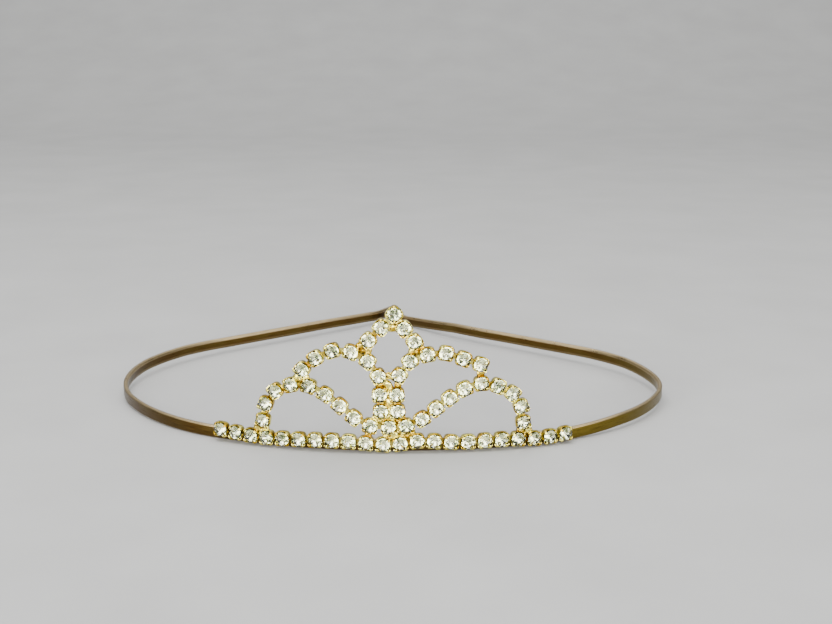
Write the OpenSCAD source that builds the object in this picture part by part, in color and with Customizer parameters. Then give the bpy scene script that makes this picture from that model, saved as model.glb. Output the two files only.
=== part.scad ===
// Mini crown headband: a narrow spring strip bent into an open loop that stands on its edge,
// with a small tiara of rhinestone cup chain soldered to the outside of its front.
// X runs along the front, Y to the back, Z up. Millimetres and degrees.

/* [Headband strip] */
// Length of the strip from end to end
band_len = 396; // [340:1:440]
// Distance that the crown sits towards the strip's right end, away from the middle
crown_off = 2; // [0:0.5:6]
// Height of the strip as it stands on its edge
band_h = 3; // [2:0.1:4]
// Thickness of the strip
band_t = 1.2; // [0.8:0.1:2]
// Radius of the strip's rounded outer edges, and how far all its edges round off its thickness
band_edge_r = 0.45; // [0.1:0.05:0.6]
// Height of the longer rounding along the strip's inner edges
inner_round_h = 0.9; // [0.4:0.05:1.3]
// Height that the left side of the loop springs clear of the table
left_lift = 1.8; // [0:0.1:4]
// Height that the right side of the loop springs clear of the table
right_lift = 2.4; // [0:0.1:4]

/* [Stones] */
// Diameter of a stone
stone_d = 3.25; // [2:0.05:4]
// Diameter of the flat table on top of a stone
table_d = 1.85; // [1:0.05:2.2]
// Height of a stone above its widest line
crown_h = 0.55; // [0.3:0.05:0.9]
// Depth of a stone below its widest line
pavilion_h = 1.25; // [0.8:0.05:1.6]

/* [Cups] */
// Gap between a stone and the cup that holds it
seat_gap = 0.05; // [0.03:0.01:0.12]
// Thickness of a cup's side wall
cup_wall = 0.14; // [0.12:0.01:0.4]
// Thickness of metal below a stone's point
cup_floor = 0.35; // [0.2:0.05:0.8]
// Length of metal cut away from each side at a cup's corners
corner_cut = 0.65; // [0.3:0.05:0.8]
// Distance that each claw reaches in over the edge of its stone
claw_reach = 0.22; // [0.1:0.02:0.3]
// Width of a claw
claw_w = 0.5; // [0.3:0.05:0.7]
// Thickness of a claw where it lies on the stone
claw_t = 0.3; // [0.2:0.05:0.5]
// Depth of the hollow between two claws, below the widest line of the stone
scallop_depth = 0.6; // [0.2:0.05:0.8]

/* [Chain and solder] */
// Gap between neighbouring cups of a chain
link_gap = 0.27; // [0.2:0.01:0.8]
// Width of a link between two cups
link_w = 1.6; // [0.6:0.1:2]
// Thickness of a link
link_t = 0.4; // [0.3:0.05:0.8]
// Width of a solder joint between two strands
solder_w = 1.8; // [0.8:0.1:1.8]
// Thickness of a solder joint
solder_t = 1.1; // [0.4:0.05:1.2]
// Height of the base row's middle line above the table
row_z = 2.4; // [2.3:0.05:4]
// Clearance between the tiara's back and the strip
back_gap = 0.05; // [0.03:0.01:0.3]

/* [Hidden] */
$fn = 24;

bronze = [0.46, 0.37, 0.17];
gold = [0.88, 0.70, 0.28];
crystal = [0.88, 0.94, 0.92];

left_len = band_len / 2 + crown_off;
right_len = band_len / 2 - crown_off;
edge_r = min(band_edge_r, band_t / 2 - 0.1);
inner_round = min(inner_round_h, band_h / 2 - 0.1);
cup_w = stone_d + 2 * (seat_gap + cup_wall);
pitch = cup_w + link_gap;
cup_depth = pavilion_h + cup_floor;
bore_d = stone_d + 2 * seat_gap;
// Height of the stone under the tip of a claw, and of the claw's underside
crown_slope = crown_h / ((stone_d - table_d) / 2);
claw_z = min(crown_h, crown_slope * claw_reach) + seat_gap;
// Distance from the strip's middle line out to the widest line of the stones
stand_off = band_t / 2 + back_gap + cup_depth;

// How the strip bends on each side of the middle of the front. The columns are the share of
// that side's length, the degrees that the strip has turned by then, and its lift there as a
// share of the side's full lift.
LEFT_BEND = [
    [0.000,   0, 0.00],
    [0.118,  14, 0.00],
    [0.216,  23, 0.00],
    [0.284,  39, 0.10],
    [0.392,  62, 0.25],
    [0.461,  89, 0.65],
    [0.529, 112, 0.95],
    [0.608, 130, 1.00],
    [0.676, 142, 0.85],
    [0.755, 143, 0.85],
    [0.850, 142, 0.85],
    [0.935, 140, 0.65],
    [0.960, 122, 0.50],
    [1.000, 113, 0.40]
];
RIGHT_BEND = [
    [0.00,   0, 0.00],
    [0.12,  10, 0.00],
    [0.22,  24, 0.05],
    [0.29,  39, 0.35],
    [0.40,  67, 0.50],
    [0.47, 103, 0.75],
    [0.54, 123, 1.00],
    [0.62, 140, 0.95],
    [0.69, 141, 0.85],
    [0.77, 143, 0.80],
    [0.85, 137, 0.70],
    [0.96, 130, 0.00],
    [1.00,  94, 0.00]
];
TURN = 1;
LIFT = 2;

function bend_column(table, column, length) = [for (row = table) [row[0] * length, row[column]]];
LEFT_TURNS = bend_column(LEFT_BEND, TURN, left_len);
RIGHT_TURNS = bend_column(RIGHT_BEND, TURN, right_len);
LEFT_LIFTS = bend_column(LEFT_BEND, LIFT, left_len);
RIGHT_LIFTS = bend_column(RIGHT_BEND, LIFT, right_len);

// Direction of the strip at a signed distance s from the middle of the front
function heading(s) = s < 0 ? -lookup(-s, LEFT_TURNS) : lookup(s, RIGHT_TURNS);
function lift(s) = s < 0 ? left_lift * lookup(-s, LEFT_LIFTS) : right_lift * lookup(s, RIGHT_LIFTS);

// The strip's middle line, walked in small steps from the middle of the front to one end
walk_steps = 200;
function walk(side, length) =
    let (step = length / walk_steps)
    [for (i = 0, x = 0, y = 0; i <= walk_steps;
          x = x + side * step * cos(heading(side * (i + 0.5) * step)),
          y = y + side * step * sin(heading(side * (i + 0.5) * step)),
          i = i + 1)
        [side * i * step, x, y]];
LEFT_WALK = walk(-1, left_len);
RIGHT_WALK = walk(1, right_len);
WALK = concat([for (i = [walk_steps:-1:1]) LEFT_WALK[i]], RIGHT_WALK);
X_AT = [for (w = WALK) [w[0], w[1]]];
Y_AT = [for (w = WALK) [w[0], w[2]]];
function at_x(s) = lookup(s, X_AT);
function at_y(s) = lookup(s, Y_AT);

// The box round the object, which puts the origin at the middle of its foot
box_left = min([for (w = WALK) w[1]]) - band_t / 2;
box_right = max([for (w = WALK) w[1]]) + band_t / 2;
box_front = -stand_off - claw_z - claw_t;
box_back = max([for (w = WALK) w[2]]) + band_t / 2;
module in_place() {
    translate([-(box_left + box_right) / 2, -(box_front + box_back) / 2, 0]) children();
}

// Rings along the strip: one every ring_step, and closer ones where its ends round off.
// Each is a distance along the strip and the share of the full height that it keeps.
ring_step = 3;
END_ROUND = [[0, 0.5], [0.2, 0.78], [0.6, 0.95], [1.2, 1]];
end_len = END_ROUND[len(END_ROUND) - 1][0];
whole_rings = floor((band_len - 2 * end_len) / ring_step);
RINGS = concat(
    [for (e = END_ROUND) [e[0] - left_len, e[1]]],
    [for (i = [1:whole_rings - 1])
        [end_len - left_len + i / whole_rings * (band_len - 2 * end_len), 1]],
    [for (i = [len(END_ROUND) - 1:-1:0]) [right_len - END_ROUND[i][0], END_ROUND[i][1]]]
);

// The strip's section as [across, up] points, with each long edge rounded by short chords
edge_chords = 3;
SECTION = [
    for (corner = [0:3], k = [0:edge_chords])
    let (turn = 90 * corner + 90 * k / edge_chords,
         inner = corner == 0 || corner == 3,
         across = inner ? 1 : -1,
         up = corner < 2 ? 1 : -1,
         round_h = inner ? inner_round : edge_r)
    [across * (band_t / 2 - edge_r) + edge_r * cos(turn),
     up * (band_h / 2 - round_h) + round_h * sin(turn)]
];

function ring_points(s, keep) = [
    for (p = SECTION)
    [at_x(s) - p[0] * sin(heading(s)), at_y(s) + p[0] * cos(heading(s)),
     lift(s) + band_h / 2 + p[1] * keep]
];

module band() {
    n = len(SECTION);
    last = (len(RINGS) - 1) * n;
    sides = [
        for (i = [0:len(RINGS) - 2], k = [0:n - 1])
        let (next = (k + 1) % n)
        each [[i * n + k, (i + 1) * n + next, i * n + next],
              [i * n + k, (i + 1) * n + k, (i + 1) * n + next]]
    ];
    color(bronze) in_place() polyhedron(
        [for (r = RINGS) each ring_points(r[0], r[1])],
        concat([[for (k = [0:n - 1]) k]], sides, [[for (k = [n - 1:-1:0]) last + k]])
    );
}

// Strands of the crown. Each route has a few points [along, up], both counted in pitches,
// from the middle of the front and from the base row's middle line.
ROUTES = [
    [[-10.39, 0.13], [-9.4, 0.04], [-7.5, -0.05], [-3.5, 0.06], [-1.2, -0.05], [0, -0.1],
     [1.5, 0.12], [2.5, 0.08], [4, -0.03], [6.5, 0.02], [8.5, -0.1], [10.3, -0.02]],
    [[-7.65, 1], [-7.4, 2.15], [-6.65, 3], [-5.25, 3.4], [-3.8, 2.85], [-2.1, 1.45],
     [-1.2, 1.02], [-0.2, 0.98]],
    [[7.65, 0.97], [7.5, 1.95], [6.95, 2.82], [5.45, 3.5], [4, 3.15], [2.45, 2.03],
     [1.7, 1.45], [0.8, 1.03]],
    [[-5.17, 4.3], [-4.55, 4.92], [-2.95, 5.6], [-1.4, 4.97], [-0.77, 4.04]],
    [[5.07, 4.65], [4.22, 4.97], [2.8, 5.42], [1.13, 5.02], [0.4, 4.1]],
    [[-1.33, 6.18], [0.14, 7.73]],
    [[0.69, 6.88], [1.28, 6.1]],
    [[-0.65, 1.94], [-0.7, 2.93]],
    [[0.31, 1.94], [0.26, 2.93]]
];
// The number of stones on each of these routes
COUNTS = [22, 10, 10, 6, 6, 3, 2, 2, 2];
BASE = 0;
LEFT_LOOP = 1;
RIGHT_LOOP = 2;
LEFT_ARCH = 3;
RIGHT_ARCH = 4;
PEAK_LEGS = [5, 6];
COLUMN_LEGS = [7, 8];
STRANDS = [0:len(ROUTES) - 1];

// A smooth curve through the points of a route, in short straight pieces
curve_pieces = 8;
function point_of(route, i) =
    i < 0 ? 2 * route[0] - route[1] :
    i >= len(route) ? 2 * route[len(route) - 1] - route[len(route) - 2] : route[i];
function blend(a, b, c, d, t) =
    0.5 * (2 * b + (c - a) * t + (2 * a - 5 * b + 4 * c - d) * t * t
    + (3 * b - a - 3 * c + d) * t * t * t);
function curve(route) = concat(
    [for (i = [0:len(route) - 2], k = [0:curve_pieces - 1])
        blend(point_of(route, i - 1), route[i], route[i + 1], point_of(route, i + 2),
              k / curve_pieces)],
    [route[len(route) - 1]]
);
function distances(line) = [
    for (i = 0, far = 0; i < len(line);
         far = far + (i < len(line) - 1 ? norm(line[i + 1] - line[i]) : 0), i = i + 1)
    far
];

// The stones of a strand, evenly spaced: [distance along the strip, height, turn of the cup]
function stones_of(strand) =
    let (line = curve(ROUTES[strand]),
         far = distances(line),
         along = [for (i = [0:len(line) - 1]) [far[i], line[i][0]]],
         up = [for (i = [0:len(line) - 1]) [far[i], line[i][1]]],
         whole = far[len(far) - 1],
         near = 0.1)
    [for (k = [0:COUNTS[strand] - 1])
        let (f = whole * k / (COUNTS[strand] - 1),
             a = max(f - near, 0),
             b = min(f + near, whole))
        [pitch * lookup(f, along), row_z + pitch * lookup(f, up),
         atan2(lookup(b, up) - lookup(a, up), lookup(b, along) - lookup(a, along))]];
STONES = [for (strand = STRANDS) stones_of(strand)];

// Puts its children on the crown's face, at a distance along the strip and a height, turned
// about the line that points out of the face. There, z = 0 is the widest line of the stones.
module on_face(along, height, turn) {
    translate([at_x(along), at_y(along), height])
        rotate([0, 0, heading(along)])
            translate([0, -stand_off, 0])
                rotate([90, 0, 0])
                    rotate([0, 0, turn]) children();
}

// One claw cup: a square block with cut corners, bored for the stone and hollowed between its
// corners, so that four posts stand up. A claw on each post lies over the edge of the stone.
scallop_r = 0.31 * cup_w;
// Distance that a claw's root stays back from the outside of its post
claw_inset = 0.04;
module cup() {
    rim_z = claw_z + claw_t / 2;
    claw_len = (cup_w - corner_cut) / sqrt(2) - claw_inset - (stone_d / 2 - claw_reach);
    difference() {
        translate([0, 0, -cup_depth]) linear_extrude(cup_depth + rim_z) cup_outline();
        translate([0, 0, -pavilion_h]) cylinder(d = bore_d, h = pavilion_h + rim_z + 1);
        for (turn = [0, 90]) rotate([0, 0, turn])
            translate([0, 0, scallop_r - scallop_depth]) rotate([90, 0, 0])
                cylinder(r = scallop_r, h = cup_w + 1, center = true);
    }
    for (turn = [45:90:315]) rotate([0, 0, turn])
        translate([stone_d / 2 - claw_reach, -claw_w / 2, claw_z])
            cube([claw_len, claw_w, claw_t]);
}
module cup_outline() {
    side = cup_w / 2;
    cut = side - corner_cut;
    polygon([[side, -cut], [side, cut], [cut, side], [-cut, side],
             [-side, cut], [-side, -cut], [-cut, -side], [cut, -side]]);
}

// A bar that joins two cups low on their sides. It reaches into both cups.
bite = 0.4;
module joint_bar(a, b, width, thickness) {
    apart = norm([b[0] - a[0], b[1] - a[1]]);
    on_face((a[0] + b[0]) / 2, (a[1] + b[1]) / 2, atan2(b[1] - a[1], b[0] - a[0]))
        translate([0, 0, -cup_depth + solder_t / 2])
            cube([apart - cup_w + 2 * bite, width, thickness], center = true);
}

// Cups of different strands that lie closer than this are soldered to each other. In the middle
// of the crown, thinner solder reaches farther, across the corners that several cups leave.
solder_reach = 1.3 * pitch;
corner_reach = 1.6 * pitch;
corner_t = solder_t - 0.2;

module tiara_frame() {
    color(gold) in_place() {
        for (strand = STONES, s = strand) on_face(s[0], s[1], s[2]) cup();
        for (strand = STONES, k = [1:len(strand) - 1])
            joint_bar(strand[k - 1], strand[k], link_w, link_t);
        for (i = STRANDS, j = STRANDS, a = STONES[i], b = STONES[j]) {
            apart = norm([b[0] - a[0], b[1] - a[1]]);
            if (i < j && apart < solder_reach) joint_bar(a, b, solder_w, solder_t);
            else if (LEFT_ARCH <= i && i < j && apart < corner_reach)
                joint_bar(a, b, solder_w, corner_t);
        }
    }
}

// One cut stone: an eight-sided table, a crown of facets down to a round girdle of sixteen
// points, and sixteen facets that run together in the point at the back
module cut_stone() {
    table = [for (k = [0:7]) [table_d / 2 * cos(45 * k), table_d / 2 * sin(45 * k), crown_h]];
    girdle = [for (k = [0:15]) [stone_d / 2 * cos(22.5 * k), stone_d / 2 * sin(22.5 * k), 0]];
    crown = [
        for (k = [0:7])
        let (next = (k + 1) % 8)
        each [[k, 8 + 2 * k, 9 + 2 * k], [k, 9 + 2 * k, next], [next, 9 + 2 * k, 8 + 2 * next]]
    ];
    back = [for (k = [0:15]) [8 + (k + 1) % 16, 8 + k, 24]];
    top = [[for (k = [0:7]) k]];
    polyhedron(concat(table, girdle, [[0, 0, -pavilion_h + seat_gap]]),
               [for (f = concat(top, crown, back)) [for (k = [len(f) - 1:-1:0]) f[k]]]);
}
module stones(strands) {
    color(crystal) in_place() for (strand = strands, s = STONES[strand])
        on_face(s[0], s[1], s[2]) cut_stone();
}

module base_stones() { stones([BASE]); }
module left_loop_stones() { stones([LEFT_LOOP]); }
module right_loop_stones() { stones([RIGHT_LOOP]); }
module left_arch_stones() { stones([LEFT_ARCH]); }
module right_arch_stones() { stones([RIGHT_ARCH]); }
module peak_stones() { stones(PEAK_LEGS); }
module column_stones() { stones(COLUMN_LEGS); }

band();
tiara_frame();
base_stones();
left_loop_stones();
right_loop_stones();
left_arch_stones();
right_arch_stones();
peak_stones();
column_stones();
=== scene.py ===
# %% [markdown]
# # A mini crown headband
#
# The real thing is a spring strip in antique bronze, 3 mm tall, bent into a loop that stands
# on its edge. A little tiara of rhinestone cup chain is soldered to the outside of its front.
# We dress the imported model: the strip, the gold cups with their claws, the links and the
# solder, and the cut stones are modelled again in fine detail, in the same places.

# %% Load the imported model
import math
import random

import bmesh
import bpy
from mathutils import Matrix, Vector, noise as soft_noise


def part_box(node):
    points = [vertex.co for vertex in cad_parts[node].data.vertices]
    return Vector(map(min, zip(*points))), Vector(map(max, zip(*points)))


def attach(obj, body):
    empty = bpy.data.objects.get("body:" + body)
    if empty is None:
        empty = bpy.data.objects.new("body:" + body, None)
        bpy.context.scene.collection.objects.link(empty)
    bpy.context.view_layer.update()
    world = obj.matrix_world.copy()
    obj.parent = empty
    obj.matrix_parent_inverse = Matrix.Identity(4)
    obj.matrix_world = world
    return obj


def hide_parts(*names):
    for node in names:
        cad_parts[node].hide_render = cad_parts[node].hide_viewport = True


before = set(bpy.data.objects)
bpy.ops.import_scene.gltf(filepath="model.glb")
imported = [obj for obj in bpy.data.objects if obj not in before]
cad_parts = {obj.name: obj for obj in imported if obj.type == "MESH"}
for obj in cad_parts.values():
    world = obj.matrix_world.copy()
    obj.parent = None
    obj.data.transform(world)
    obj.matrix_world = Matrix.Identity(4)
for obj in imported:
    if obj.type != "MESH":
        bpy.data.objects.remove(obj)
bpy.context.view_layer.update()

MM = 0.001  # in metres: sizes are in millimetres until this turns them into Blender's metres
TINY = 1e-6  # for comparing places that rounding may have moved

# %% [markdown]
# ## The bends of the strip
#
# Everything follows the strip, so its bends come first. Each half of it is a list of
# headings: how many degrees it has turned at a share of its length. We walk along it in
# small steps, as a pen plotter would, and keep each step's place. A curve object could give
# the same line, but with the walk any distance along the strip becomes a place at once, and
# that is how a chain of cups is laid out on it.

# %% Walk along the strip
LENGTHS = {-1: 200.0, 1: 196.0}  # of the strip to the left and right of the front's middle
STRIP_H, STRIP_T = 3.0, 1.2
LIFTS = {-1: 1.8, 1: 2.4}  # of the raised stretch on each side, above the table
BENDS = {  # share of that side's length, degrees turned by then, share of the side's lift
    -1: [(0, 0, 0), (0.118, 14, 0), (0.216, 23, 0), (0.284, 39, 0.10), (0.392, 62, 0.25),
         (0.461, 89, 0.65), (0.529, 112, 0.95), (0.608, 130, 1), (0.676, 142, 0.85),
         (0.755, 143, 0.85), (0.85, 142, 0.85), (0.935, 140, 0.65), (0.96, 122, 0.50),
         (1, 113, 0.40)],
    1: [(0, 0, 0), (0.12, 10, 0), (0.22, 24, 0.05), (0.29, 39, 0.35), (0.40, 67, 0.50),
        (0.47, 103, 0.75), (0.54, 123, 1), (0.62, 140, 0.95), (0.69, 141, 0.85),
        (0.77, 143, 0.80), (0.85, 137, 0.70), (0.96, 130, 0), (1, 94, 0)],
}


def between(table, x, column=1):
    """Reads a column of a table at x, straight from one row to the next."""
    for low, high in zip(table, table[1:]):
        if x <= high[0]:
            share = max(x - low[0], 0) / (high[0] - low[0])
            return low[column] + (high[column] - low[column]) * share
    return table[-1][column]


def heading(s):
    """Direction of the strip, in radians, at a distance s in mm from the middle of the front."""
    side = -1 if s < 0 else 1
    return side * math.radians(between(BENDS[side], abs(s) / LENGTHS[side]))


def lift(s):
    """Height of the strip's lower edge above the table at distance s, in mm."""
    side = -1 if s < 0 else 1
    return LIFTS[side] * between(BENDS[side], abs(s) / LENGTHS[side], 2)


STEPS = 200
walked = {}
for side, length in LENGTHS.items():
    step = length / STEPS
    x = y = 0.0
    walked[side] = [(x, y)]
    for i in range(STEPS):
        turn = heading(side * (i + 0.5) * step)
        x += side * step * math.cos(turn)
        y += side * step * math.sin(turn)
        walked[side].append((x, y))


def strip_place(s):
    """The strip's middle line at distance s, seen from above, in mm."""
    side = -1 if s < 0 else 1
    far = min(abs(s) / LENGTHS[side], 1) * STEPS
    i = min(int(far), STEPS - 1)
    (x0, y0), (x1, y1) = walked[side][i], walked[side][i + 1]
    return x0 + (x1 - x0) * (far - i), y0 + (y1 - y0) * (far - i)


print("ends of the strip, from the middle of its front", walked[-1][-1], walked[1][-1])

# %% [markdown]
# ## Where the stones sit
#
# Cup chain is sold by the metre: cups at an even pitch, so a strand is only a route and a
# count. Each route is a few points, in pitches, from the middle of the front and the base
# row's middle line. A smooth curve is drawn through them and the cups are spaced evenly on
# it, which is what a maker's hand does when it bends the chain.

# %% Lay out the strands
STONE_D, TABLE_D, CROWN_H, PAVILION_H = 3.25, 1.85, 0.55, 1.25
SEAT_GAP, CUP_WALL, CUP_FLOOR, CLAW_REACH, CLAW_T = 0.05, 0.14, 0.35, 0.22, 0.3
CUP_GAP, STRIP_GAP = 0.27, 0.05  # from cup to cup, and from the cups to the strip
CUP_W = STONE_D + 2 * (SEAT_GAP + CUP_WALL)
PITCH = CUP_W + CUP_GAP
CUP_DEPTH = PAVILION_H + CUP_FLOOR
STAND_OFF = STRIP_T / 2 + STRIP_GAP + CUP_DEPTH
CLAW_Z = CROWN_H / ((STONE_D - TABLE_D) / 2) * CLAW_REACH + SEAT_GAP
ROW_Z = 2.4

STRANDS = {  # name: (number of cups, route)
    "base": (22, [(-10.39, 0.13), (-9.4, 0.04), (-7.5, -0.05), (-3.5, 0.06), (-1.2, -0.05),
                  (0, -0.1), (1.5, 0.12), (2.5, 0.08), (4, -0.03), (6.5, 0.02), (8.5, -0.1),
                  (10.3, -0.02)]),
    "left_loop": (10, [(-7.65, 1), (-7.4, 2.15), (-6.65, 3), (-5.25, 3.4), (-3.8, 2.85),
                       (-2.1, 1.45), (-1.2, 1.02), (-0.2, 0.98)]),
    "right_loop": (10, [(7.65, 0.97), (7.5, 1.95), (6.95, 2.82), (5.45, 3.5), (4, 3.15),
                        (2.45, 2.03), (1.7, 1.45), (0.8, 1.03)]),
    "left_arch": (6, [(-5.17, 4.3), (-4.55, 4.92), (-2.95, 5.6), (-1.4, 4.97), (-0.77, 4.04)]),
    "right_arch": (6, [(5.07, 4.65), (4.22, 4.97), (2.8, 5.42), (1.13, 5.02), (0.4, 4.1)]),
    "peak_tip": (3, [(-1.33, 6.18), (0.14, 7.73)]),
    "peak_side": (2, [(0.69, 6.88), (1.28, 6.1)]),
    "column_left": (2, [(-0.65, 1.94), (-0.7, 2.93)]),
    "column_right": (2, [(0.31, 1.94), (0.26, 2.93)]),
}


def smooth_route(route, pieces=8):
    """A Catmull-Rom curve through the route's points, in that many straight pieces each."""
    p = [Vector(q) for q in route]
    p = [2 * p[0] - p[1], *p, 2 * p[-1] - p[-2]]
    line = []
    for a, b, c, d in zip(p, p[1:], p[2:], p[3:]):
        for k in range(pieces):
            t = k / pieces
            line.append(0.5 * (2 * b + (c - a) * t + (2 * a - 5 * b + 4 * c - d) * t * t
                               + (3 * b - a - 3 * c + d) * t ** 3))
    return line + [p[-2]]


def lay_strand(count, route, beside=0.1):
    """Distance along the strip and height, in mm, and turn, in radians, of each cup.

    The turn is read from the route a little beside the cup, on either hand.
    """
    line = smooth_route(route)
    far = [0.0]
    for a, b in zip(line, line[1:]):
        far.append(far[-1] + (b - a).length)
    along = list(zip(far, [p.x for p in line]))
    up = list(zip(far, [p.y for p in line]))
    strand = []
    for k in range(count):
        f = far[-1] * k / (count - 1)
        a, b = max(f - beside, 0), min(f + beside, far[-1])
        turn = math.atan2(between(up, b) - between(up, a), between(along, b) - between(along, a))
        strand.append((PITCH * between(along, f), ROW_Z + PITCH * between(up, f), turn))
    return strand


cups = {name: lay_strand(*strand) for name, strand in STRANDS.items()}
print("cups", {name: len(c) for name, c in cups.items()}, sum(len(c) for c in cups.values()))

# %% [markdown]
# ## From the strip to the model's frame
#
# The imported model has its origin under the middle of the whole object, and counts in metres.
# One matrix per cup does it all: out from the strip, turned with the chain, moved to that
# origin. Once the stones are made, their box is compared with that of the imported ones.

# %% One matrix per cup
xs = [p[0] for side in walked.values() for p in side]
ys = [p[1] for side in walked.values() for p in side]
SHIFT = Vector((-(min(xs) + max(xs)) / 2,
                -(max(ys) + STRIP_T / 2 - STAND_OFF - CLAW_Z - CLAW_T) / 2, 0))


def on_face(cup):
    """The matrix of a cup: x along its chain, z out of the tiara's face, in metres."""
    s, height, turn = cup
    x, y = strip_place(s)
    return (Matrix.Scale(MM, 4) @ Matrix.Translation(SHIFT + Vector((x, y, height)))
            @ Matrix.Rotation(heading(s), 4, "Z") @ Matrix.Translation((0, -STAND_OFF, 0))
            @ Matrix.Rotation(math.radians(90), 4, "X") @ Matrix.Rotation(turn, 4, "Z"))


first, last = on_face(cups["base"][0]), on_face(cups["base"][-1])
print("base row from", [round(1000 * v, 2) for v in first.translation],
      "to", [round(1000 * v, 2) for v in last.translation])

# %% [markdown]
# ## Helpers for materials
#
# A finish is a small tree of nodes. The patterns read the object's own coordinates, in
# metres, so a scale of 1000 makes a speckle of about a millimetre. A few helpers keep the
# trees short: they make noise, turn a range of a pattern into a colour, a roughness or a
# bump, read a number kept at each point, and mix colours.

# %% Node helpers
def object_place(tree):
    """The object's own coordinates, in metres."""
    return tree.nodes.new("ShaderNodeTexCoord").outputs["Object"]


def new_finish(name, **settings):
    """A material with one Principled shader, and those sockets of it set to plain values."""
    finish = bpy.data.materials.new(name)
    finish.use_nodes = True
    shader = finish.node_tree.nodes["Principled BSDF"]
    for socket, value in settings.items():
        shader.inputs[socket.replace("_", " ")].default_value = value
    return finish, finish.node_tree, shader


def noise(tree, place, scale, detail=3.0, stretch=(1, 1, 1)):
    """A noise pattern on the coordinates that come from place, stretched along an axis."""
    mapping = tree.nodes.new("ShaderNodeMapping")
    mapping.inputs["Scale"].default_value = stretch
    pattern = tree.nodes.new("ShaderNodeTexNoise")
    pattern.inputs["Scale"].default_value = scale
    pattern.inputs["Detail"].default_value = detail
    tree.links.new(place, mapping.inputs["Vector"])
    tree.links.new(mapping.outputs["Vector"], pattern.inputs["Vector"])
    return pattern.outputs["Fac"]


def ramp(tree, value, low, high, dark, light):
    """Turns a value between low and high into a colour from dark to light."""
    node = tree.nodes.new("ShaderNodeValToRGB")
    node.color_ramp.elements[0].position, node.color_ramp.elements[1].position = low, high
    node.color_ramp.elements[0].color, node.color_ramp.elements[1].color = dark, light
    tree.links.new(value, node.inputs["Fac"])
    return node.outputs["Color"]


def grey_range(tree, value, low, high):
    """Spreads a noise over low to high, for a roughness or a share.

    A noise rarely leaves the range of 0.3 to 0.7, so that is taken as its whole range.
    """
    node = tree.nodes.new("ShaderNodeMapRange")
    node.inputs["From Min"].default_value, node.inputs["From Max"].default_value = 0.3, 0.7
    node.inputs["To Min"].default_value, node.inputs["To Max"].default_value = low, high
    tree.links.new(value, node.inputs["Value"])
    return node.outputs["Result"]


def bump(tree, shader, height, distance, strength):
    """Tilts the shader's normals by a pattern that is distance metres high."""
    node = tree.nodes.new("ShaderNodeBump")
    node.inputs["Distance"].default_value = distance
    node.inputs["Strength"].default_value = strength
    tree.links.new(height, node.inputs["Height"])
    tree.links.new(node.outputs["Normal"], shader.inputs["Normal"])


def point_value(tree, name):
    """Reads a number that the mesh keeps at each of its points."""
    node = tree.nodes.new("ShaderNodeAttribute")
    node.attribute_name = name
    return node.outputs["Fac"]


def mix_colours(tree, share, first, second):
    """Mixes two colours, or the outputs that give them, by a share of 0 to 1."""
    node = tree.nodes.new("ShaderNodeMix")
    node.data_type = "RGBA"  # its colours are then inputs 6 and 7 and output 2
    tree.links.new(share, node.inputs["Factor"])
    for socket, colour in ((node.inputs[6], first), (node.inputs[7], second)):
        if isinstance(colour, bpy.types.NodeSocket):
            tree.links.new(colour, socket)
        else:
            socket.default_value = colour
    return node.outputs[2]


# %% [markdown]
# ## Antique bronze for the strip
#
# The strip is spring steel under a thin brownish-gold plating. It is drawn through rollers,
# so it has faint streaks along its length, and its plating is rubbed paler on the long
# edges, where it slides through hair. That pale colour is also a painted highlight for the
# light the rounded edges catch, brighter on the upper edges than on the lower ones. Streaks
# that follow a bent strip can't come from object coordinates, so the strip carries its own
# UV map: how far along, and how far across. Two numbers kept at each of its points say how
# much wear and painted highlight the plating shows there, and how much yellower it is, as it
# is to the right of the tiara.

# %% Make the antique bronze
bronze, tree, shader = new_finish("antique_bronze", Metallic=1.0)
uv = tree.nodes.new("ShaderNodeUVMap")
uv.uv_map = "strip"
streaks = noise(tree, uv.outputs["UV"], 6.0, detail=5.0, stretch=(0.35, 9.0, 1.0))
mottle = noise(tree, uv.outputs["UV"], 1.1, detail=4.0, stretch=(1.0, 2.2, 1.0))
RED_BROWN = (0.056, 0.028, 0.007, 1), (0.092, 0.048, 0.011, 1)
OLIVE_BROWN = (0.066, 0.044, 0.010, 1), (0.106, 0.072, 0.018, 1)
YELLOW_BROWN = (0.100, 0.069, 0.009, 1), (0.150, 0.110, 0.018, 1)
# Worn plating and painted highlight: this pale tan on the rounded edges also stands in for the
# light they catch.
WORN_AND_HIGHLIGHT_TAN = (0.43, 0.33, 0.18, 1)
plating = mix_colours(tree, grey_range(tree, mottle, 0.0, 1.0),
                      ramp(tree, streaks, 0.3, 0.7, *RED_BROWN),
                      ramp(tree, streaks, 0.3, 0.7, *OLIVE_BROWN))
plating = mix_colours(tree, point_value(tree, "yellower"), plating,
                      ramp(tree, streaks, 0.3, 0.7, *YELLOW_BROWN))
tree.links.new(mix_colours(tree, point_value(tree, "wear_and_highlight"), plating, WORN_AND_HIGHLIGHT_TAN),
               shader.inputs["Base Color"])
tree.links.new(grey_range(tree, streaks, 0.24, 0.40), shader.inputs["Roughness"])
bump(tree, shader, streaks, 0.03 * MM, strength=0.5)
print("finish", bronze.name, len(tree.nodes), "nodes")

# %% [markdown]
# ## The strip: make it flat, then bend it
#
# A long box gets its ends and edges rounded by bevels while it is still straight, because
# that is when they are easy to pick. Then it is cut across every millimetre and each point
# is carried to its place on the bend. Extruding a section along the bend would give the
# same band, but its rounded ends would be hard work. The edges inside the loop are rounded
# twice as wide as those outside: with the painted highlight on them, they draw the broad
# pale line along the strip's back.

# %% Round the straight strip
def round_edges(bm, edges, offset, segments):
    """Bevels those edges round, in that many steps."""
    bmesh.ops.bevel(bm, geom=edges, offset=offset, offset_type="OFFSET", segments=segments,
                    profile=0.5, affect="EDGES", material=-1)


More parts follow.
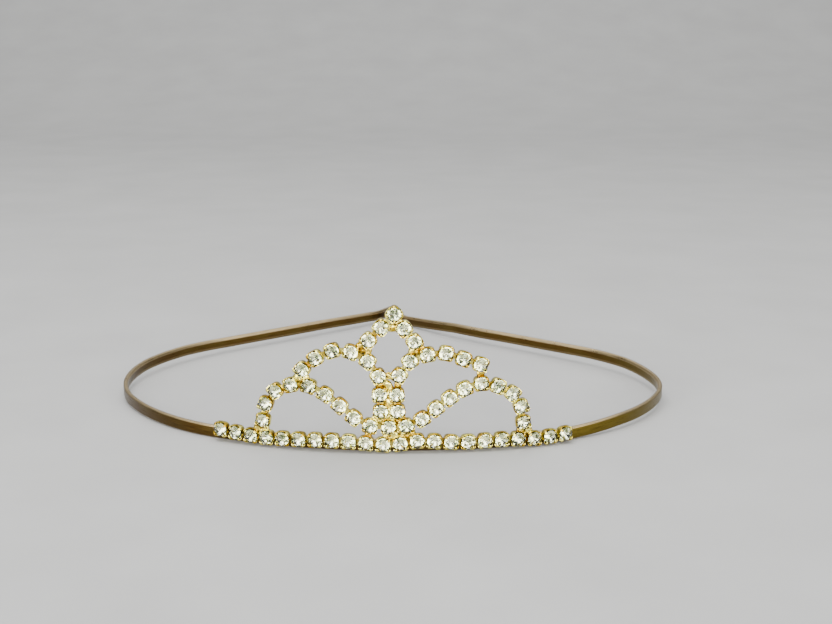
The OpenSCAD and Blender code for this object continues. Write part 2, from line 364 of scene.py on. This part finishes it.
EDGE, INNER_ROUND, END_ROUND = 0.42, 0.9, 1.0
whole = sum(LENGTHS.values())
strip = bmesh.new()
bmesh.ops.create_cube(strip, size=1)
bmesh.ops.scale(strip, vec=(whole, STRIP_T, STRIP_H), verts=strip.verts)
bmesh.ops.translate(strip, vec=((LENGTHS[1] - LENGTHS[-1]) / 2, 0, 0), verts=strip.verts)
ends = [e for e in strip.edges if abs((e.verts[0].co - e.verts[1].co).y) > STRIP_T / 2]
round_edges(strip, ends, END_ROUND, 5)
long_edges = [e for e in strip.edges if abs(e.verts[0].co.y - e.verts[1].co.y) < TINY]
round_edges(strip, long_edges, EDGE, 5)
rails = [e for e in strip.edges if e.calc_length() > whole / 2]
bmesh.ops.subdivide_edges(strip, edges=rails, cuts=int(whole) - 1, use_grid_fill=True)
print("straight strip", len(strip.verts), "points,", len(rails), "long edges were cut")

# %% Note how far along and across each point is
UV_UNIT = 10  # mm
uv_layer = strip.loops.layers.uv.new("strip")
for face in strip.faces:
    for loop in face.loops:
        s, across, up = loop.vert.co
        loop[uv_layer].uv = (s / UV_UNIT, (up + across) / UV_UNIT)
print("strip's map", len(strip.faces), "faces")

# %% Note each point's wear and painted highlight and how yellow it is, and bend the strip
def fade(value, none, full):
    """0 at none, 1 at full, in a straight line between and no further."""
    return min(max((value - none) / (full - none), 0.0), 1.0)


HALF_H = STRIP_H / 2
WEAR_HIGHLIGHT_W, INNER_WEAR_HIGHLIGHT_W = 0.30, 0.35  # over which the wear and painted highlight set in, outside and inside the loop
INNER_LOWER_WEAR_HIGHLIGHT, LOWER_WEAR_HIGHLIGHT = 0.5, 0.6  # of the wear and painted highlight that the upper edges show: the lower edges are painted less lit
YELLOW_FROM, YELLOW_FULL, YELLOW_FADES, YELLOW_TO = 25, 45, 85, 115  # mm right of the middle
wear_highlight_layer = strip.verts.layers.float.new("wear_and_highlight")
yellow_layer = strip.verts.layers.float.new("yellower")
rng = random.Random(7)
for vert in strip.verts:
    s, across, up = vert.co
    # The rounded edges get wear and a painted highlight, less on the lower edges than on the upper
    # ones.
    wear_highlight = fade(abs(up), HALF_H - EDGE, HALF_H - EDGE + WEAR_HIGHLIGHT_W)
    if across > 0 and abs(up) > HALF_H - EDGE - TINY:
        drop = (HALF_H - abs(up)) * (INNER_ROUND / EDGE - 1)
        up -= math.copysign(drop * min(across / (STRIP_T / 2 - EDGE), 1), up)
        wear_highlight = fade(abs(up), HALF_H - INNER_ROUND, HALF_H - INNER_ROUND + INNER_WEAR_HIGHLIGHT_W)
        wear_highlight *= 1 if up > 0 else INNER_LOWER_WEAR_HIGHLIGHT
    vert[wear_highlight_layer] = wear_highlight * rng.uniform(0.85, 1.0) * (1 if up > 0 else LOWER_WEAR_HIGHLIGHT)
    vert[yellow_layer] = (fade(s, YELLOW_FROM, YELLOW_FULL)
                          * fade(s, YELLOW_TO, YELLOW_FADES))
    (x, y), turn = strip_place(s), heading(s)
    vert.co = MM * (SHIFT + Vector((x - across * math.sin(turn), y + across * math.cos(turn),
                                    lift(s) + HALF_H + up)))
bmesh.ops.recalc_face_normals(strip, faces=strip.faces)
print("rubbed points", sum(1 for vert in strip.verts if vert[wear_highlight_layer] > 0),
      "yellower ones", sum(1 for vert in strip.verts if vert[yellow_layer] > 0))

# %% Turn the shape into a piece of the scene
def keep_mesh(bm, name):
    """A mesh with what the bmesh holds now."""
    mesh = bpy.data.meshes.new(name)
    bm.to_mesh(mesh)
    return mesh


def finish_piece(bm, name, finishes, nodes, sharp=40):
    """Turns a bmesh into a shaded object that rides on the body and stands for CAD nodes.

    Faces that meet at more than sharp degrees keep a sharp edge between them.
    """
    mesh = keep_mesh(bm, name)
    bm.free()
    for finish in finishes:
        mesh.materials.append(finish)
    mesh.shade_smooth()
    mesh.set_sharp_from_angle(angle=math.radians(sharp))
    piece = bpy.data.objects.new(name, mesh)
    bpy.context.scene.collection.objects.link(piece)
    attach(piece, "root")
    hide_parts(*nodes)
    print(name, len(mesh.vertices), "points", len(mesh.polygons), "faces")
    return piece


finish_piece(strip, "headband_strip", [bronze], ["band"])

# %% [markdown]
# ## Gold plate
#
# The cup chain is brass with a bright yellow plating. It mirrors its surroundings, so most
# of its look comes from the lights. What the finish adds is the warm tint, a slightly uneven
# gloss, and tiny waves left by stamping and solder, at about half a millimetre. Deep between
# the cups the plating is painted brown, for tarnish and for the shade that falls there. How
# brown is a number, tarnish and painted shade, that is kept at each point of the metal.

# %% Make the gold plate
gold, tree, shader = new_finish("gold_plate", Metallic=1.0)
place = object_place(tree)
waves = noise(tree, place, 1400, detail=2.0)
tone = noise(tree, place, 420)
DEEP_GOLD, PALE_GOLD = (0.50, 0.32, 0.015, 1), (0.97, 0.88, 0.21, 1)
# Tarnish and painted shade: this brown darkens the plating deep between the cups.
TARNISH_AND_SHADE_BROWN = (0.10, 0.050, 0.012, 1)
plate = ramp(tree, tone, 0.40, 0.58, DEEP_GOLD, PALE_GOLD)
tree.links.new(mix_colours(tree, point_value(tree, "tarnish_and_shade"), plate, TARNISH_AND_SHADE_BROWN),
               shader.inputs["Base Color"])
tree.links.new(grey_range(tree, waves, 0.10, 0.26), shader.inputs["Roughness"])
bump(tree, shader, waves, 0.06 * MM, strength=0.6)
print("finish", gold.name, len(tree.nodes), "nodes")

# %% [markdown]
# ## One claw cup
#
# A real cup is stamped from sheet: a square dish with rounded corners, cut low between the
# corners so that light reaches the stone, and four claws that a press folds over it. We
# raise the dish ring by ring from a circle, pull each ring square, lower the rim between
# the corners, and give the sheet its thickness with solidify. Cutting it from a block with
# booleans would leave untidy faces. Each claw is a cube that is drawn out along a path.

# %% Raise the dish
AROUND = 32
FLOOR_INSET, RIM_INSET = 0.30, 0.02
RIM_LOW, RIM_HIGH, RIM_CURVE = -0.60, 0.12, 2.2
WALL = [(CUP_W / 2 - 0.07, 0.10 - CUP_DEPTH), (CUP_W / 2 - 0.01, 0.40 - CUP_DEPTH),
        (CUP_W / 2, -0.95), (CUP_W / 2, -0.70)]  # half a side and height of each ring
dish = bmesh.new()


def pull_square(verts, half_side, z, squareness=3.5):
    """Moves a ring of points onto a square with rounded corners, at one height."""
    for v in verts:
        turn = math.atan2(v.co.y, v.co.x)
        reach = (abs(math.cos(turn)) ** squareness + abs(math.sin(turn)) ** squareness)
        r = half_side * reach ** (-1 / squareness)
        v.co = (r * math.cos(turn), r * math.sin(turn), z)


floor_ring = bmesh.ops.create_circle(dish, cap_ends=True, segments=AROUND, radius=1)["verts"]
pull_square(floor_ring, CUP_W / 2 - FLOOR_INSET, -CUP_DEPTH, squareness=3.0)
edges = list(dish.edges)
for half_side, z in WALL:
    made = bmesh.ops.extrude_edge_only(dish, edges=edges)["geom"]
    edges = [g for g in made if isinstance(g, bmesh.types.BMEdge)]
    pull_square({v for e in edges for v in e.verts}, half_side, z)
made = bmesh.ops.extrude_edge_only(dish, edges=edges)["geom"]
rim = {v for g in made if isinstance(g, bmesh.types.BMEdge) for v in g.verts}
pull_square(rim, CUP_W / 2 - RIM_INSET, 0)
for v in rim:
    corner = abs(math.sin(2 * math.atan2(v.co.y, v.co.x)))
    v.co.z = RIM_LOW + (RIM_HIGH - RIM_LOW) * corner ** RIM_CURVE
bmesh.ops.recalc_face_normals(dish, faces=dish.faces)
bmesh.ops.solidify(dish, geom=dish.faces, thickness=CUP_WALL)
print("dish", len(dish.faces), "faces, z from", round(min(v.co.z for v in dish.verts), 2),
      "to", round(max(v.co.z for v in dish.verts), 2))

# %% Bend four claws over the stone's edge
def sharp_edges(bm):
    """The edges where two faces meet at more than a radian."""
    return [e for e in bm.edges if e.calc_face_angle(0) > 1]


def add_claw(bm, turn, path, widths, thickness):
    """A tapering bar with rounded edges that follows a path of (radius, height) points.

    Its bevel is a share of its width and thickness, because it starts as a unit cube.
    """
    bar = bmesh.new()
    bmesh.ops.create_cube(bar, size=1)
    rails = [e for e in bar.edges if abs((e.verts[0].co - e.verts[1].co).x) > 0.5]
    bmesh.ops.subdivide_edges(bar, edges=rails, cuts=len(path) - 2, use_grid_fill=True)
    round_edges(bar, sharp_edges(bar), 0.22, 2)
    for v in bar.verts:
        share = min(max(v.co.x + 0.5, 0), 1) * (len(path) - 1)
        i = min(int(share), len(path) - 2)
        a, b = Vector(path[i]), Vector(path[i + 1])
        spot = a.lerp(b, share - i)
        normal = Vector((-(b - a).y, (b - a).x)).normalized()
        width = widths[0] + (widths[1] - widths[0]) * share / (len(path) - 1)
        out = spot - normal * v.co.z * thickness
        v.co = Matrix.Rotation(turn, 3, "Z") @ Vector((out.x, v.co.y * width, out.y))
    spare = keep_mesh(bar, "claw")
    bar.free()
    bm.from_mesh(spare)
    bpy.data.meshes.remove(spare)


CORNER_R = CUP_W / 2 * 1.16  # from the middle of the cup to a rounded corner
CLAW_PATH = [(CORNER_R - 0.13, -0.75), (CORNER_R - 0.12, -0.30), (CORNER_R - 0.12, 0.02),
             (CORNER_R - 0.175, 0.20), (CORNER_R - 0.315, 0.33), (CORNER_R - 0.505, 0.375),
             (STONE_D / 2 - CLAW_REACH, 0.385)]
CLAW_WIDTHS, CLAW_SHEET = (0.60, 0.40), 0.26  # at its root and tip, and how thick
for k in range(4):
    add_claw(dish, math.radians(45 + 90 * k), CLAW_PATH, CLAW_WIDTHS, CLAW_SHEET)
bmesh.ops.recalc_face_normals(dish, faces=dish.faces)
print("dish and claws", len(dish.faces), "faces")

# %% Tarnish the cup and paint its shade
# Tarnish and painted shade: the cup darkens below the stone's girdle, towards the next cup and
# round the stone, where it lies in shade.
SIDE_TARNISH_AND_SHADE, SEAT_TARNISH_AND_SHADE, LEAST_TARNISH_AND_SHADE = 0.55, 0.35, 0.1
OPEN_CUP_SHARE = 0.8  # of the tarnish and painted shade, on cups that don't stand against the strip
tarnish_and_shade_layer = dish.verts.layers.float.new("tarnish_and_shade")
for v in dish.verts:
    deep = fade(-v.co.z, 0.15, 0.65)  # mm below the stone's girdle
    beside = fade(abs(v.co.x) / (CUP_W / 2), 0.78, 0.90)  # towards the next cup of the strand
    inside = fade(v.co.xy.length, STONE_D / 2 + 0.10, STONE_D / 2 + 0.05)  # round the stone
    v[tarnish_and_shade_layer] = deep * max(SIDE_TARNISH_AND_SHADE * beside, SEAT_TARNISH_AND_SHADE * inside, LEAST_TARNISH_AND_SHADE)
print("most tarnish", round(max(v[tarnish_and_shade_layer] for v in dish.verts), 2))
cup_mesh = keep_mesh(dish, "base_cup")
for v in dish.verts:
    v[tarnish_and_shade_layer] *= OPEN_CUP_SHARE
open_cup_mesh = keep_mesh(dish, "open_cup")
dish.free()

# %% [markdown]
# ## Set the cups along every strand
#
# The same cup is used 63 times, a little darker along the base row, where it stands against
# the strip: more tarnish and painted shade there. Objects that share one mesh would do, but
# 63 of them are a crowd: the mesh is copied into a shared bmesh with each cup's matrix, so
# that each strand is one piece. The peak and the middle column are two short strands each.

# %% Place the cups
def put(bm, mesh, matrix):
    """Adds a copy of a mesh to a bmesh, moved by a matrix."""
    before = len(bm.verts)
    bm.from_mesh(mesh)
    bm.verts.ensure_lookup_table()
    bmesh.ops.transform(bm, matrix=matrix, verts=bm.verts[before:])


GROUPS = {  # part of the crown: (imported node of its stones, its strands)
    "base_row": ("base_stones", ["base"]),
    "left_loop": ("left_loop_stones", ["left_loop"]),
    "right_loop": ("right_loop_stones", ["right_loop"]),
    "left_arch": ("left_arch_stones", ["left_arch"]),
    "right_arch": ("right_arch_stones", ["right_arch"]),
    "peak": ("peak_stones", ["peak_tip", "peak_side"]),
    "column": ("column_stones", ["column_left", "column_right"]),
}
for group, (_, names) in GROUPS.items():
    bm = bmesh.new()
    for name in names:
        for cup in cups[name]:
            put(bm, cup_mesh if name == "base" else open_cup_mesh, on_face(cup))
    finish_piece(bm, group + "_cups", [gold], ["tiara_frame"])

# %% [markdown]
# ## Links and solder
#
# Under each gap of a strand lies the chain's link, a short flat bar that the cups are
# pressed onto. Where strands meet there is no link: a drop of solder holds them, so it is
# lumpy, and a little of it shows between the stones, and more in the corners where three
# cups meet. The bars are beveled boxes, narrowed in the middle. The drops are round shapes
# that noise pushes out of true.

# %% Make one link
LINK_W, LINK_T, LINK_WAIST = 1.6, 0.4, 0.72  # the waist is a share of the width
BITE = 0.4  # how far a link or a drop of solder reaches under a cup
# Tarnish and painted shade of the links, which lie in shade between the cups; more along the base
# row.
LINK_TARNISH_AND_SHADE, OPEN_LINK_TARNISH_AND_SHADE = 0.65, 0.40
JOINT_Z = 0.55 - CUP_DEPTH  # of the middle of links and solder, 0.55 above the cups' bottom
LINK_LENGTH = PITCH - CUP_W + 2 * BITE
link = bmesh.new()
bmesh.ops.create_cube(link, size=1)
bmesh.ops.scale(link, vec=(LINK_LENGTH, LINK_W, LINK_T), verts=link.verts)
rails = [e for e in link.edges if abs((e.verts[0].co - e.verts[1].co).x) > LINK_T]
bmesh.ops.subdivide_edges(link, edges=rails, cuts=3, use_grid_fill=True)
for v in link.verts:
    if abs(v.co.x) < TINY:  # the middle one of the three cuts
        v.co.y *= LINK_WAIST
round_edges(link, sharp_edges(link), 0.1, 2)
bmesh.ops.remove_doubles(link, verts=link.verts, dist=10 * TINY)
bmesh.ops.recalc_face_normals(link, faces=link.faces)
tarnish_and_shade_layer = link.verts.layers.float.new("tarnish_and_shade")
for v in link.verts:
    v[tarnish_and_shade_layer] = LINK_TARNISH_AND_SHADE
link_mesh = keep_mesh(link, "base_link")
for v in link.verts:
    v[tarnish_and_shade_layer] = OPEN_LINK_TARNISH_AND_SHADE
open_link_mesh = keep_mesh(link, "open_link")
link.free()
print("link", len(link_mesh.polygons), "faces")

# %% Lay a link under each gap
def bar_between(a, b, z):
    """The matrix midway between two cups, x pointing from one to the other, and their distance."""
    turn = math.atan2(b[1] - a[1], b[0] - a[0])
    middle = ((a[0] + b[0]) / 2, (a[1] + b[1]) / 2, turn)
    return on_face(middle) @ Matrix.Translation((0, 0, z)), math.dist(a[:2], b[:2])


links = bmesh.new()
for name, strand in cups.items():
    for a, b in zip(strand, strand[1:]):
        matrix, apart = bar_between(a, b, JOINT_Z)
        reach = (apart - CUP_W + 2 * BITE) / LINK_LENGTH
        put(links, link_mesh if name == "base" else open_link_mesh,
            matrix @ Matrix.Scale(reach, 4, (1, 0, 0)))
finish_piece(links, "chain_links", [gold], ["tiara_frame"])

# %% Drop the solder
solder = bmesh.new()
tarnish_and_shade_layer = solder.verts.layers.float.new("tarnish_and_shade")
rng = random.Random(11)
order = list(cups)
FIRST_ARCH = order.index("left_arch")  # from this strand on, solder bridges wider gaps too
JOINT_REACH, WIDE_REACH = 1.3 * PITCH, 1.6 * PITCH
joints = [(a, b) for i, m in enumerate(order) for n in order[i + 1:] for a in cups[m]
          for b in cups[n]
          if math.dist(a[:2], b[:2]) < (JOINT_REACH if i < FIRST_ARCH else WIDE_REACH)]
LUMPS, LUMP_SCALE = 0.22, 1.6  # how deep and how fine, of a drop of radius 1


def drop_solder(matrix, half_sizes, most_tarnish_and_shade=0.7, least_tarnish_and_shade=0.0):
    """One lumpy drop, with tarnish and painted shade, darkest on its lower half and least on top.
    """
    drop = bmesh.ops.create_icosphere(solder, subdivisions=3, radius=1)["verts"]
    seed = Vector((rng.uniform(0, 50), rng.uniform(0, 50), rng.uniform(0, 50)))
    for v in drop:
        v[tarnish_and_shade_layer] = max(most_tarnish_and_shade * fade(-v.co.z, -0.3, 0.7), least_tarnish_and_shade)
        v.co *= 1 + LUMPS * soft_noise.noise(v.co * LUMP_SCALE + seed)
    bmesh.ops.scale(solder, vec=half_sizes, verts=drop)
    bmesh.ops.transform(solder, matrix=matrix, verts=drop)


for a, b in joints:
    matrix, apart = bar_between(a, b, JOINT_Z)
    half_length = (apart - CUP_W) / 2 + BITE + 0.15
    drop_solder(matrix, (half_length, rng.uniform(0.85, 1.0), rng.uniform(0.5, 0.65)))
print("solder joints", len(joints))

# %% Fill the corners where three cups meet
TRIO_REACH = 1.34 * PITCH
placed = [(strand, cup) for strand in order for cup in cups[strand]]
corners = []
for i, (m, a) in enumerate(placed):
    near = [(n, b) for n, b in placed[i + 1:] if math.dist(a[:2], b[:2]) < TRIO_REACH]
    for j, (n, b) in enumerate(near):
        corners += [(a, b, c) for q, c in near[j + 1:]
                    if math.dist(b[:2], c[:2]) < TRIO_REACH and len({m, n, q}) > 1]
for trio in corners:
    middle = [sum(cup[i] for cup in trio) / 3 for i in (0, 1)]
    matrix = on_face((*middle, rng.uniform(0, 3))) @ Matrix.Translation((0, 0, JOINT_Z))
    half_sizes = (rng.uniform(0.7, 0.8), rng.uniform(0.7, 0.8), rng.uniform(0.5, 0.62))
    # Corners where three cups meet lie in shade, so their drops get more painted shade, with
    # tarnish.
    drop_solder(matrix, half_sizes, most_tarnish_and_shade=0.8, least_tarnish_and_shade=0.5)
print("corners filled", len(corners))
finish_piece(solder, "solder_drops", [gold], ["tiara_frame"], sharp=80)

# %% [markdown]
# ## Cut crystal
#
# A rhinestone is glass with a mirror foil on its back. Light goes in through the crown,
# bounces between the foil facets and comes out white in one facet and dark in the next.
# Glass alone would show the gold cup behind it, and a plain white shader would look like a
# bead, so each stone gets two finishes: clear glass on its front, foil on its back. The foil's
# colour is broken into bright and dim cells of half a millimetre, painted glints and dark
# facets that stand in for the crumpled sparkle of small foiled stones, which their few
# facets can't give alone.

# %% Make the glass and the foil
glass, tree, shader = new_finish("crystal_glass", IOR=1.54, Transmission_Weight=1.0)
place = object_place(tree)
tint = noise(tree, place, 230, detail=1.0)
GREENISH, CLEAR = (0.90, 0.97, 0.93, 1), (0.99, 1.0, 0.99, 1)
tree.links.new(ramp(tree, tint, 0.35, 0.65, GREENISH, CLEAR), shader.inputs["Base Color"])
wear = noise(tree, place, 2600)
tree.links.new(grey_range(tree, wear, 0.0, 0.05), shader.inputs["Roughness"])
bump(tree, shader, wear, 0.01 * MM, strength=0.2)

foil, tree, shader = new_finish("mirror_foil", Metallic=1.0)
place = object_place(tree)
cloud = noise(tree, place, 900, detail=2.0)
# Painted sparkle: bright and dim cells in the foil's colour stand in for glints and dark facets.
sparkle_cells = tree.nodes.new("ShaderNodeTexVoronoi")
sparkle_cells.inputs["Scale"].default_value = 1700
tree.links.new(place, sparkle_cells.inputs["Vector"])
DIM_SPARKLE_FOIL, BRIGHT_SPARKLE_FOIL = (0.22, 0.25, 0.13, 1), (1.0, 1.0, 0.76, 1)
tree.links.new(ramp(tree, sparkle_cells.outputs["Color"], 0.18, 0.45, DIM_SPARKLE_FOIL, BRIGHT_SPARKLE_FOIL),
               shader.inputs["Base Color"])
tree.links.new(grey_range(tree, cloud, 0.03, 0.10), shader.inputs["Roughness"])
print("finishes", glass.name, foil.name)

# %% [markdown]
# ## The cut of a stone
#
# The cut has a flat eight-sided table, a crown of star, kite and girdle facets, a thin
# girdle, and a pavilion that runs almost to a point. It could be ground from a cylinder,
# plane by plane, as a cutter does it. But all its corners lie on a bulging form, so the
# convex hull of a few rings of points is exactly the cut stone, in one step.

# %% Cut one stone
def ring(bm, count, r, z, first=0.0):
    """Adds count points on a circle, the first of them turned by that many degrees."""
    circle = bmesh.ops.create_circle(bm, segments=count, radius=r)["verts"]
    bmesh.ops.rotate(bm, verts=circle, cent=(0, 0, 0),
                     matrix=Matrix.Rotation(math.radians(first), 3, "Z"))
    bmesh.ops.translate(bm, verts=circle, vec=(0, 0, z))
    return circle


cut = bmesh.new()
R, GIRDLE, POINT_R = STONE_D / 2, 0.03, 0.03
CROWN_RING = (0.805 * R, 0.29, 22.5)  # radius, height and turn in degrees
PAVILION_RING = (0.52 * R, -0.62, 22.5)
points = ring(cut, 8, TABLE_D / 2, CROWN_H) + ring(cut, 8, *CROWN_RING)
points += ring(cut, 16, R, GIRDLE) + ring(cut, 16, R, -GIRDLE)
points += ring(cut, 8, *PAVILION_RING) + ring(cut, 3, POINT_R, SEAT_GAP - PAVILION_H)
bmesh.ops.convex_hull(cut, input=points)
loose = [e for e in cut.edges if e.is_wire]  # what is left of the rings inside the hull
bmesh.ops.delete(cut, geom=loose, context="EDGES")
FLAT = math.radians(1.5)  # triangles of the hull that meet at less are one facet
bmesh.ops.dissolve_limit(cut, angle_limit=FLAT, verts=cut.verts, edges=cut.edges)
bmesh.ops.recalc_face_normals(cut, faces=cut.faces)
for face in cut.faces:
    face.material_index = 1 if face.normal.z < -0.1 else 0  # foil, or glass
stone_mesh = keep_mesh(cut, "one_stone")
cut.free()
print("stone", len(stone_mesh.polygons), "facets")

# %% [markdown]
# ## Set the stones
#
# A press leaves each stone a little out of true, so that no two of them mirror the same
# light. Each gets a small tilt and a spin of its own before its cup's matrix places it. The
# numbers come from a seeded generator, so they are the same on every run.

# %% Set each stone in its cup
MOST_TILT, MOST_SPIN = 1.6, 45  # degrees
rng = random.Random(5)
for group, (node, names) in GROUPS.items():
    bm = bmesh.new()
    for name in names:
        for cup in cups[name]:
            lean = math.radians(rng.uniform(0, MOST_TILT))
            axis = Vector((rng.uniform(-1, 1), rng.uniform(-1, 1), 0)).normalized()
            tilt = Matrix.Rotation(lean, 4, axis)
            spin = Matrix.Rotation(math.radians(rng.uniform(0, MOST_SPIN)), 4, "Z")
            put(bm, stone_mesh, on_face(cup) @ tilt @ spin)
    crystals = finish_piece(bm, group + "_crystals", [glass, foil], [node], sharp=5)
    places = [v.co for v in crystals.data.vertices]
    low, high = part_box(node)
    off = max(abs(pick(p[i] for p in places) - side[i])
              for pick, side in ((min, low), (max, high)) for i in range(3))
    print("  box differs from the packed one by", round(1000 * off, 2), "mm")

# %% [markdown]
# ## Floor, light and camera
#
# A plain pale floor that curves up behind, as a sheet of studio paper does. A wide soft
# ceiling and a key light draw the bright top edge of the strip. Three panels stand in front,
# low and well out of view, for the stones and the gold to mirror. Two weak ones at the
# sides light the inner edges at the bends, and the last one lights the paper behind. One
# lamp would be simpler, but cut stones and plated metal show only what stands around them.
# The camera stands where it was fitted to the photo, looking down by 14 degrees.

# %% Lay a sweep of paper
SWEEP_START, SWEEP_R, HALF_FLOOR = 0.6, 0.7, 2.0  # metres
UPRIGHT = math.radians(90)
ground = bmesh.new()
bmesh.ops.create_grid(ground, x_segments=2, y_segments=200, size=HALF_FLOOR)
for v in ground.verts:
    past = v.co.y - SWEEP_START
    if past > 0:
        turn = min(past / SWEEP_R, UPRIGHT)
        v.co.y = SWEEP_START + SWEEP_R * math.sin(turn)
        v.co.z = SWEEP_R * (1 - math.cos(turn)) + max(past - SWEEP_R * UPRIGHT, 0)
floor_mesh = keep_mesh(ground, "floor")
ground.free()
floor_mesh.shade_smooth()
floor = bpy.data.objects.new("floor", floor_mesh)
bpy.context.scene.collection.objects.link(floor)
paper, tree, shader = new_finish("pale_paper", Roughness=0.6)
place = object_place(tree)
GREY_PAPER, LIGHT_PAPER = (0.31, 0.31, 0.305, 1), (0.34, 0.34, 0.335, 1)
fibres = noise(tree, place, 30, detail=4.0)
tree.links.new(ramp(tree, fibres, 0.3, 0.7, GREY_PAPER, LIGHT_PAPER), shader.inputs["Base Color"])
floor_mesh.materials.append(paper)
print("floor", len(floor_mesh.polygons), "faces")

# %% Dim the room
world = bpy.data.worlds.new("studio")
world.use_nodes = True
room = world.node_tree.nodes["Background"]
room.inputs["Color"].default_value = (0.80, 0.82, 0.84, 1)
room.inputs["Strength"].default_value = 0.15
bpy.context.scene.world = world
print("room light", round(room.inputs["Strength"].default_value, 2))

# %% Hang the lights
def soft_light(name, spot, aim, size, power, colour=(1, 1, 1)):
    """A rectangle of light at spot that faces aim, all in metres and watts."""
    light = bpy.data.lights.new(name, "AREA")
    light.shape, light.size, light.size_y = "RECTANGLE", size[0], size[1]
    light.energy, light.color = power, colour
    lamp = bpy.data.objects.new(name, light)
    lamp.location = spot
    lamp.rotation_euler = (Vector(aim) - Vector(spot)).to_track_quat("-Z", "Y").to_euler()
    bpy.context.scene.collection.objects.link(lamp)
    print("light", name, power, "W")


TIARA, BAND = (0, -0.06, 0.02), (0, 0, 0.02)
soft_light("key", (-0.04, -0.16, 0.52), (0, -0.02, 0), (0.50, 0.34), 4.0)
soft_light("ceiling", (0, 0.24, 0.55), (0, 0.24, 0), (1.80, 1.12), 6.0)
soft_light("front_left", (-0.75, -0.75, 0.28), TIARA, (0.50, 0.45), 9.0)
soft_light("front_middle", (0.0, -1.05, 0.33), TIARA, (0.70, 0.45), 14.0)
soft_light("front_right", (0.75, -0.75, 0.28), TIARA, (0.50, 0.45), 7.8, (1.0, 0.98, 0.95))
soft_light("left_side", (-0.85, -0.33, 0.36), BAND, (0.50, 0.46), 1.0)
soft_light("right_side", (0.85, -0.33, 0.36), BAND, (0.50, 0.46), 1.0)
soft_light("backdrop_light", (0, 0.5, 1.3), (0, 1.1, 0.1), (1.6, 0.5), 14.0)

# %% Set up the camera at the photo's angle
TILT = math.radians(14)
DISTANCE, ASIDE, AIM_HEIGHT = 278.42, 5.38, 32.68  # mm, from the middle of the strip's front
FOCUS_PX, PICTURE_PX, SENSOR = 1250, 832, 36  # focal length, picture and sensor width
camera = bpy.data.objects.new("camera", bpy.data.cameras.new("camera"))
camera.data.sensor_width = SENSOR
camera.data.lens = FOCUS_PX * SENSOR / PICTURE_PX
camera.location = MM * (SHIFT + Vector((ASIDE, -DISTANCE * math.cos(TILT),
                                        AIM_HEIGHT + DISTANCE * math.sin(TILT))))
camera.rotation_euler = (math.radians(90) - TILT, 0, 0)
camera.data.clip_start, camera.data.clip_end = 0.01, 20
bpy.context.scene.collection.objects.link(camera)
bpy.context.scene.camera = camera
print("camera", [round(v, 4) for v in camera.location], "lens", round(camera.data.lens, 2))
